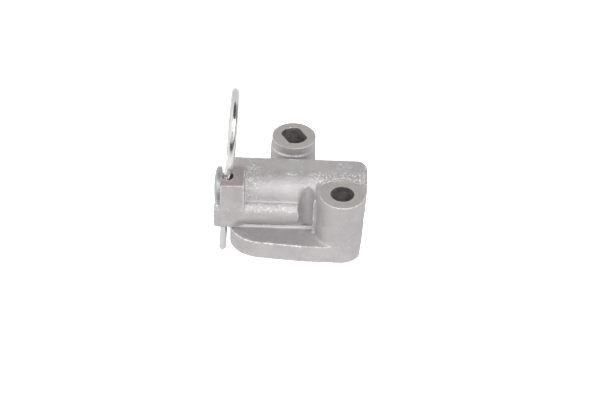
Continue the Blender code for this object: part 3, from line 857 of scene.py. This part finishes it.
def turned_steel(name, dark, light, rough, pitch=9000.0, metallic=1.0):
    """Ground or turned steel about the bore axis."""
    g = Graph(name)
    lines = g.noise(1.0, 2.0, 0.6, g.stretch((pitch, 260, 260)))
    haze = g.noise(300, 3.0, 0.6)
    specks = g.noise(2200, 2.0, 0.6)
    tone = g.mix(g.ramp(lines, 0.3, 0.7), dark, light)
    tone = g.mix(g.ramp(haze, 0.5, 0.8, 0.0, 0.35), tone, tuple(0.75 * v for v in dark))
    tone = g.mix(g.ramp(specks, 0.66, 0.8, 0.0, 0.4), tone, tuple(0.55 * v for v in dark))
    g.put(g.shader.inputs["Base Color"], tone)
    g.shader.inputs["Metallic"].default_value = metallic
    g.put(g.shader.inputs["Roughness"], g.math("ADD", g.ramp(lines, 0.3, 0.7, rough, rough + 0.1), g.ramp(haze, 0.4, 0.8, 0.0, 0.08)))
    g.put(g.shader.inputs["Normal"], g.bump(lines, 0.00002, 0.45, g.bump(haze, 0.00005, 0.2)))
    return g.mat


def wire_steel():
    g = Graph("spring_wire_steel")
    grain = g.noise(3000, 3.0, 0.6)
    slow = g.noise(260, 2.0, 0.5)
    tone = g.mix(g.ramp(slow, 0.35, 0.65), (0.33, 0.33, 0.34), (0.45, 0.45, 0.455))
    tone = g.mix(g.ramp(grain, 0.55, 0.75, 0.0, 0.5), tone, (0.60, 0.60, 0.60))
    g.put(g.shader.inputs["Base Color"], tone)
    g.shader.inputs["Metallic"].default_value = 1.0
    g.put(g.shader.inputs["Roughness"], g.ramp(grain, 0.3, 0.7, 0.28, 0.42))
    g.put(g.shader.inputs["Normal"], g.bump(grain, 0.00002, 0.4))
    return g.mat


def nylon():
    g = Graph("natural_nylon")
    cloud = g.noise(220, 3.0, 0.5)
    grain = g.noise(2600, 3.0, 0.6)
    tone = g.mix(g.ramp(cloud, 0.3, 0.7), (0.74, 0.69, 0.57), (0.82, 0.78, 0.67))
    tone = g.mix(g.ramp(grain, 0.6, 0.8, 0.0, 0.3), tone, (0.62, 0.57, 0.46))
    g.put(g.shader.inputs["Base Color"], tone)
    g.shader.inputs["Subsurface Weight"].default_value = 0.1
    g.shader.inputs["Subsurface Radius"].default_value = (0.001, 0.0008, 0.0006)
    g.put(g.shader.inputs["Roughness"], g.ramp(grain, 0.3, 0.7, 0.42, 0.56))
    g.put(g.shader.inputs["Normal"], g.bump(grain, 0.00002, 0.3))
    return g.mat


# ---- the pieces ---------------------------------------------------------------------------------------
CAST, MACHINED, DRILLED = cast_aluminium(), machined_aluminium(), drilled_aluminium()
GROUND = turned_steel("ground_steel_oiled", (0.53, 0.545, 0.545), (0.63, 0.645, 0.645), 0.46)
HARD = turned_steel("hardened_steel_turned", (0.46, 0.46, 0.48), (0.60, 0.60, 0.62), 0.26, 6000.0)
WIRE, SPRING, NYLON = zinc_wire(), wire_steel(), nylon()
BALL = turned_steel("polished_ball_steel", (0.68, 0.68, 0.69), (0.76, 0.76, 0.77), 0.07, 2500.0)

make_housing(CAST, MACHINED, DRILLED)

pin = sweep("locking_pin_wire", pin_path(), PIN_R, 28, 0.22)
pin.data.materials.append(WIRE)
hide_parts("locking_pin")
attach(pin, "pin")

nose = [
    (-30.1 - 0.9 * math.cos(math.radians(a)), 5.75 * math.sin(math.radians(a)), 0.0)
    for a in (8, 14, 21, 28, 35, 42, 49, 56, 63, 70, 77)
]
plunger = turned(
    "plunger_ground",
    softened(
        [(-30.98, 0.5, 0.0)]
        + nose
        + [
            (-29.98, 6.0, 0.18),
            (-28.75, 6.0, 0.15),
            (-28.75, 4.0, 0.35),
            (-23.7, 4.0, 0.35),
            (-23.3, 6.0, 0.15),
            (4.1, 6.0, 0.1),
            (4.5, 5.6, 0.08),
            (4.5, 4.3, 0.08),
            (-19.7, 4.3, 0.0),
            (-20.5, 3.3, 0.1),
            (-20.5, 0.5, 0.0),
        ]
    ),
    96,
)
plunger.data.materials.append(GROUND)
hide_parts("plunger")
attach(plunger, "plunger_unit")


def coil_path(x0, x1, radius, wire, turns, steps):
    travel = x1 - x0 - 2 * wire
    out = []
    for i in range(int(turns * steps) + 1):
        share = i / (turns * steps)
        ease = share - math.sin(2 * math.pi * share) * 0.5 / (2 * math.pi)
        a = 2 * math.pi * turns * share
        out.append((x0 + wire + travel * ease, BORE_Y + radius * math.cos(a), BORE_Z + radius * math.sin(a)))
    return out


spring = sweep("plunger_spring_coil", coil_path(-17.7, 6.4, 3.45, 0.5, 9.0, 40), 0.5, 14, 0.08)
spring.data.materials.append(SPRING)
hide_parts("plunger_spring")
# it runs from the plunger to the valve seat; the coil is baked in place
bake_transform(spring)

light_spring = sweep("check_ball_spring_coil", coil_path(2.85, 4.1, 0.9, 0.16, 3.0, 32), 0.16, 10, 0.03)
light_spring.data.materials.append(SPRING)
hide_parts("check_ball_spring")
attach(light_spring, "body")
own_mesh(light_spring)

for node, mat in (
    ("vent_disc", HARD),
    ("valve_seat", HARD),
    ("ball_retainer", SPRING),
    ("check_ball", BALL),
    ("spring_guide", NYLON),
):
    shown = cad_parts[node]
    for slot in shown.material_slots:
        slot.material = mat
    if not shown.material_slots:
        shown.data.materials.append(mat)

# ---- stage: the tensioner stands on its pin's tip and on the lower right edge of its base ---------------
lean = math.atan2(-PIN_TIP_Z + 0.03, BARREL_X1 - (PIN_X20 + PIN_LEAN * (PIN_TIP_Z - 20)) + PIN_R)
bm = bmesh.new()
bmesh.ops.create_grid(bm, x_segments=8, y_segments=8, size=4.0)
floor_mesh = bpy.data.meshes.new("floor")
bm.to_mesh(floor_mesh)
bm.free()
floor = link("floor", floor_mesh)
floor.matrix_world = Matrix.Translation((BARREL_X1 * MM, 0, -0.00002)) @ Matrix.Rotation(-lean, 4, "Y")
fg = Graph("pale_floor")
paper = fg.noise(900, 3.0, 0.6)
sheet = fg.mix(fg.ramp(paper, 0.3, 0.7), (0.44, 0.44, 0.44), (0.48, 0.48, 0.48))
# painted shade: the sheet is near black towards the camera, a dark surround for the wire and casting to reflect
fg.put(fg.shader.inputs["Base Color"], fg.mix(fg.ramp(fg.split()[1], -0.15, -0.05), (0.06, 0.06, 0.06), sheet))
fg.shader.inputs["Roughness"].default_value = 0.7
fg.shader.inputs["Specular IOR Level"].default_value = 0.2
fg.shader.inputs["Emission Color"].default_value = (1, 1, 1, 1)
# painted light: the sheet itself glows, evenly white to the camera and as light onto the object from below
seen = fg.node("ShaderNodeLightPath").outputs["Is Camera Ray"]
depth = fg.split()[1]                # the light on the sheet falls off towards the camera
fg.put(fg.shader.inputs["Emission Strength"], fg.math("MULTIPLY_ADD", seen, 1.0, fg.ramp(depth, -0.14, -0.05, 0.0, 0.46)))
floor.data.materials.append(fg.mat)

SWEEP, CEILING = 0.72, 0.07
PATCHES = (                          # left, right, low, high, softness, gain
    (-116.0, -48.0, -2.0, 42.0, 7.0, 0.36),
    (4.0, 60.0, -2.0, 40.0, 7.0, 0.34),
    (-40.0, -4.0, -10.0, 44.0, 6.0, -0.16),
    (66.0, 124.0, -12.0, 50.0, 8.0, -0.42),
)
world = bpy.data.worlds.new("studio")
bpy.context.scene.world = world
world.use_nodes = True
tree = world.node_tree
background = tree.nodes["Background"]
coords = tree.nodes.new("ShaderNodeTexCoord")


def calc(op, *values):
    n = tree.nodes.new("ShaderNodeMath")
    n.operation = op
    for socket, value in zip(n.inputs, values):
        if isinstance(value, float):
            socket.default_value = value
        else:
            tree.links.new(value, socket)
    return n.outputs[0]


def ramp(value, low, high):
    n = tree.nodes.new("ShaderNodeMapRange")
    n.interpolation_type = "SMOOTHSTEP"
    tree.links.new(value, n.inputs["Value"])
    n.inputs["From Min"].default_value = low
    n.inputs["From Max"].default_value = high
    return n.outputs["Result"]


parts = tree.nodes.new("ShaderNodeSeparateXYZ")
tree.links.new(coords.outputs["Generated"], parts.inputs[0])
rise = calc("MULTIPLY", calc("ARCSINE", parts.outputs[2]), 57.2958)
round_ = calc("MULTIPLY", calc("ARCTAN2", parts.outputs[0], calc("MULTIPLY", parts.outputs[1], -1.0)), 57.2958)


def panel(left, right, low, high, soft, gain):
    """A soft-edged patch of the surroundings: degrees round from the camera's side, degrees up."""
    inside = calc("MULTIPLY", ramp(round_, left - soft, left + soft), ramp(round_, right + soft, right - soft))
    inside = calc("MULTIPLY", inside, ramp(rise, low - soft, low + soft))
    inside = calc("MULTIPLY", inside, ramp(rise, high + soft, high - soft))
    return calc("MULTIPLY", inside, gain)


# a white sweep all round under a dark ceiling, softboxes to the left and right of the camera
overhead = calc("MULTIPLY_ADD", parts.outputs[1], -0.13, calc("MULTIPLY", parts.outputs[2], 0.991))
strength = calc("MULTIPLY_ADD", ramp(overhead, 0.87, 0.76), SWEEP - CEILING, CEILING)
for patch in PATCHES:
    strength = calc("ADD", strength, panel(*patch))
strength = calc("MAXIMUM", strength, 0.03)
tree.links.new(strength, background.inputs["Strength"])
background.inputs["Color"].default_value = (1.0, 1.0, 1.0, 1.0)
# the backdrop itself is plain white
white = tree.nodes.new("ShaderNodeBackground")
white.inputs["Strength"].default_value = 1.05
ray = tree.nodes.new("ShaderNodeLightPath")
pick = tree.nodes.new("ShaderNodeMixShader")
tree.links.new(ray.outputs["Is Camera Ray"], pick.inputs[0])
tree.links.new(background.outputs[0], pick.inputs[1])
tree.links.new(white.outputs[0], pick.inputs[2])
tree.links.new(pick.outputs[0], tree.nodes["World Output"].inputs["Surface"])


def softbox(name, location, target, size, power):
    light = bpy.data.lights.new(name, "AREA")
    light.shape = "RECTANGLE"
    light.size, light.size_y = size
    light.energy = power
    obj = bpy.data.objects.new(name, light)
    bpy.context.scene.collection.objects.link(obj)
    obj.location = location
    obj.rotation_euler = (Vector(target) - Vector(location)).to_track_quat("-Z", "Y").to_euler()
    return obj


softbox("key", (0.52, -0.58, 0.86), (0, 0, 0.01), (0.24, 0.24), 3.5)
softbox("fill", (-0.50, -0.58, 0.86), (0, 0, 0.01), (0.24, 0.24), 2.9)
softbox("front", (0.06, -0.90, 0.76), (0, 0, 0.01), (0.20, 0.20), 2.5)

camera = bpy.data.cameras.new("camera")
camera.sensor_width = 36.0
camera.sensor_fit = "HORIZONTAL"
camera.lens = 81.91
camera.clip_start, camera.clip_end = 0.01, 50.0
view = bpy.data.objects.new("camera", camera)
bpy.context.scene.collection.objects.link(view)
right, up = Vector((0.999351, 0.016835, 0.031849)), Vector((-0.035363, 0.627202, 0.778048))
back = -Vector((0.006877, 0.77867, -0.62739))
turn = Matrix((right, up, back)).transposed().to_4x4()
view.matrix_world = Matrix.Translation((-0.007755, -0.327434, 0.270689)) @ turn
bpy.context.scene.camera = view
bpy.context.scene.view_settings.view_transform = "Standard"
bpy.context.scene.view_settings.look = "None"
